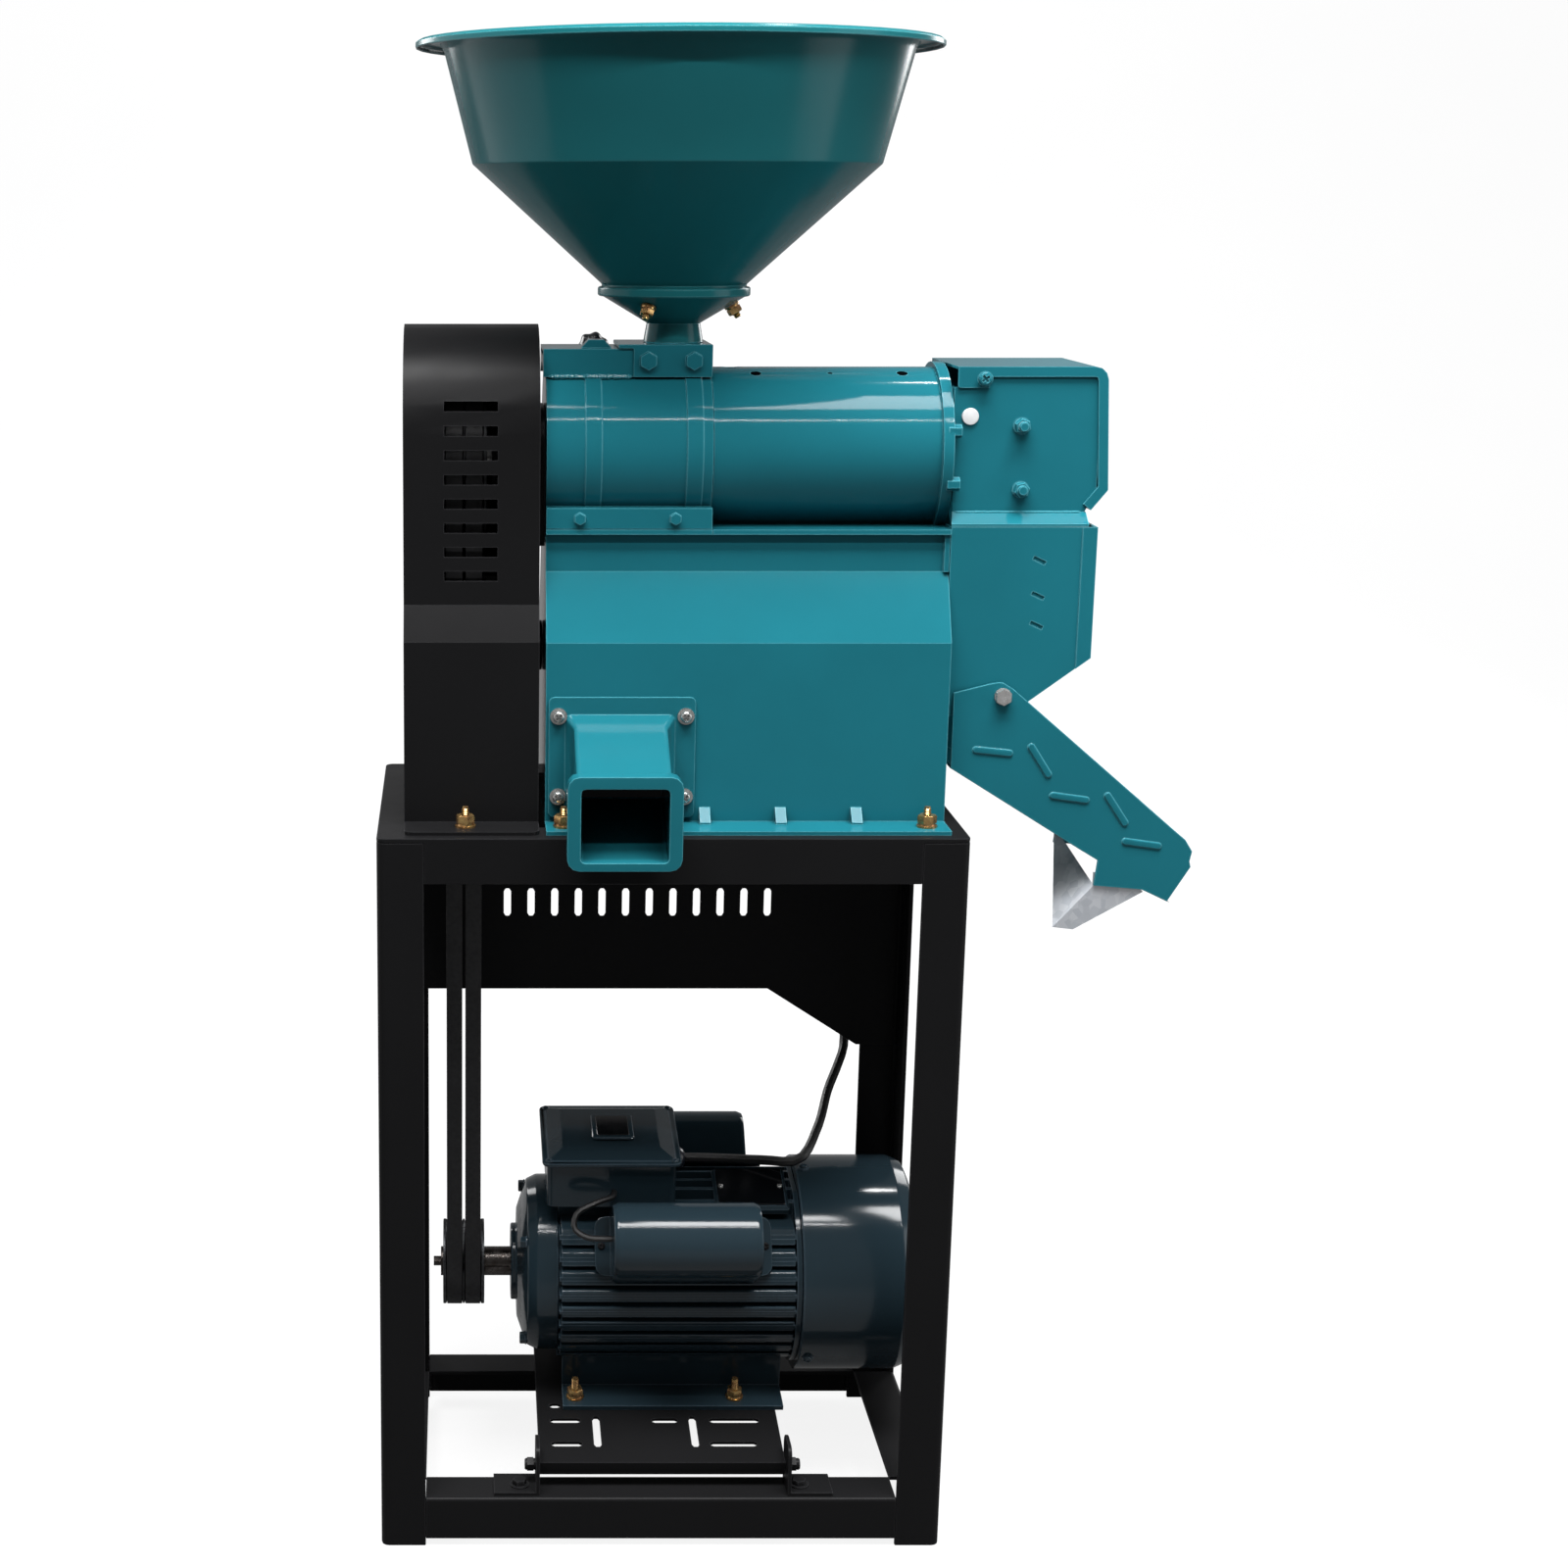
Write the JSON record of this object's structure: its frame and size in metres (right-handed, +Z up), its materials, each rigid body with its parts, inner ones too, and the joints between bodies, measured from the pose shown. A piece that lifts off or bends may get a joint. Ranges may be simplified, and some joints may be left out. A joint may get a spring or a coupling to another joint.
{
  "type": "coffee bean huller",
  "caption": "Coffee bean huller: round hopper over a screw-fed hulling barrel on a black angle-iron stand, with a hinged motor, a belt drive, a husk duct and a sloping bean chute.",
  "frame": {"origin": "centre of the footprint, on the floor", "axes": "+Z up, +X along the main shaft towards the outlet and chute, -Y towards the husk duct"},
  "size_m": [0.6212, 0.3872, 1.15],
  "materials": {
    "black_enamel": "satin black enamel",
    "teal_enamel": "gloss teal enamel",
    "hopper_enamel": "gloss teal enamel, a little darker",
    "slate_enamel": "gloss slate enamel with orange peel",
    "bright_steel": "turned bright steel",
    "cast_iron": "machined cast iron",
    "galvanised_sheet": "plain zinc coated sheet",
    "black_rubber": "matt black rubber",
    "black_plastic": "black moulded plastic",
    "green_plastic": "green push button",
    "red_plastic": "red push button"
  },
  "bodies": {
    "frame": {"leg_front_left": "black_enamel", "leg_front_right": "black_enamel", "leg_rear_left": "black_enamel", "leg_rear_right": "black_enamel", "top_frame": "black_enamel", "lower_rail_front": "black_enamel", "lower_rail_rear": "black_enamel", "lower_rail_left": "black_enamel", "lower_rail_right": "black_enamel", "switch_panel": "black_enamel", "switch_box": "black_enamel", "mill_body": "teal_enamel", "feed_chamber": "teal_enamel", "chamber_cover": "teal_enamel", "hulling_barrel": "teal_enamel", "screen": "bright_steel", "feed_block": "teal_enamel", "hopper_seat": "teal_enamel", "hopper_collar": "teal_enamel", "hopper": "hopper_enamel", "discharge_duct": "teal_enamel", "outlet_box": "teal_enamel", "separator_box": "teal_enamel", "bearing_housing": "black_enamel", "main_bearing": "bright_steel", "belt_guard": "black_enamel", "guard_back_plate": "black_enamel", "drive_belt_inner": "black_rubber", "drive_belt_outer": "black_rubber", "hinge_bracket_left": "black_enamel", "hinge_bracket_right": "black_enamel", "motor_cable": "black_rubber", "chute_bolt_front": "bright_steel", "chute_bolt_rear": "bright_steel"},
    "mill_rotor": {"main_shaft": "bright_steel", "feed_screw": "cast_iron", "hulling_roller": "cast_iron", "main_pulley": "cast_iron"},
    "fan_rotor": {"fan_shaft": "bright_steel", "fan_impeller": "cast_iron", "fan_pulley": "cast_iron"},
    "feed_gate": {"gate_plate": "galvanised_sheet", "gate_knob": "black_plastic"},
    "outlet_lid": {"outlet_cover": "teal_enamel"},
    "outlet_flap": {"pressure_flap": "bright_steel"},
    "chute": {"chute_tray": "teal_enamel", "chute_deflector": "galvanised_sheet"},
    "motor": {"motor_base_plate": "black_enamel", "motor_housing": "slate_enamel", "drive_end_shield": "slate_enamel", "fan_cover": "slate_enamel", "terminal_box": "slate_enamel", "terminal_lid": "slate_enamel", "capacitor_front": "slate_enamel", "capacitor_rear": "slate_enamel", "capacitor_lead": "black_rubber"},
    "motor_rotor": {"motor_shaft": "bright_steel", "motor_pulley": "cast_iron"},
    "start_button": {"start_button": "green_plastic"},
    "stop_button": {"stop_button": "red_plastic"}
  },
  "joints": [
    {"name": "main_shaft_spin", "type": "hinge", "parent": "frame", "child": "mill_rotor", "pos_m": [-0.09065, 0, 0.851], "axis": [1, 0, 0], "continuous": true},
    {"name": "fan_spin", "type": "hinge", "parent": "frame", "child": "fan_rotor", "pos_m": [-0.09065, 0.014, 0.6965], "axis": [1, 0, 0], "continuous": true},
    {"name": "motor_lift", "type": "hinge", "parent": "frame", "child": "motor", "pos_m": [-0.09065, -0.106, 0.059], "axis": [1, 0, 0], "range_deg": [0, 8], "deforming": ["drive_belt_inner", "drive_belt_outer", "motor_cable"]},
    {"name": "motor_spin", "type": "hinge", "parent": "motor", "child": "motor_rotor", "pos_m": [-0.09065, 0.02847, 0.17282], "axis": [1, 0, 0], "continuous": true},
    {"name": "chute_tilt", "type": "hinge", "parent": "frame", "child": "chute", "pos_m": [0.15995, 0, 0.6715], "axis": [0, -1, 0], "range_deg": [0, 15]},
    {"name": "outlet_cover_hinge", "type": "hinge", "parent": "frame", "child": "outlet_lid", "pos_m": [0.13795, 0, 0.9073], "axis": [0, -1, 0], "range_deg": [0, 35]},
    {"name": "pressure_flap_hinge", "type": "hinge", "parent": "frame", "child": "outlet_flap", "pos_m": [0.16755, 0, 0.8725], "axis": [0, -1, 0], "range_deg": [0, 25], "stiffness_Nm_per_rad": 1, "springref_deg": -17.19},
    {"name": "feed_gate_slide", "type": "slide", "parent": "frame", "child": "feed_gate", "axis": [-1, 0, 0], "range_m": [0, 0.03]},
    {"name": "start_button_press", "type": "slide", "parent": "frame", "child": "start_button", "axis": [0, -1, 0], "range_m": [0, 0.003], "stiffness_N_per_m": 400, "springref_m": -0.002},
    {"name": "stop_button_press", "type": "slide", "parent": "frame", "child": "stop_button", "axis": [0, -1, 0], "range_m": [0, 0.003], "stiffness_N_per_m": 400, "springref_m": -0.002}
  ],
  "couplings": [
    {"joint": "fan_spin", "follows": "main_shaft_spin", "ratio": 1.2917},
    {"joint": "motor_spin", "follows": "main_shaft_spin", "ratio": 2}
  ]
}
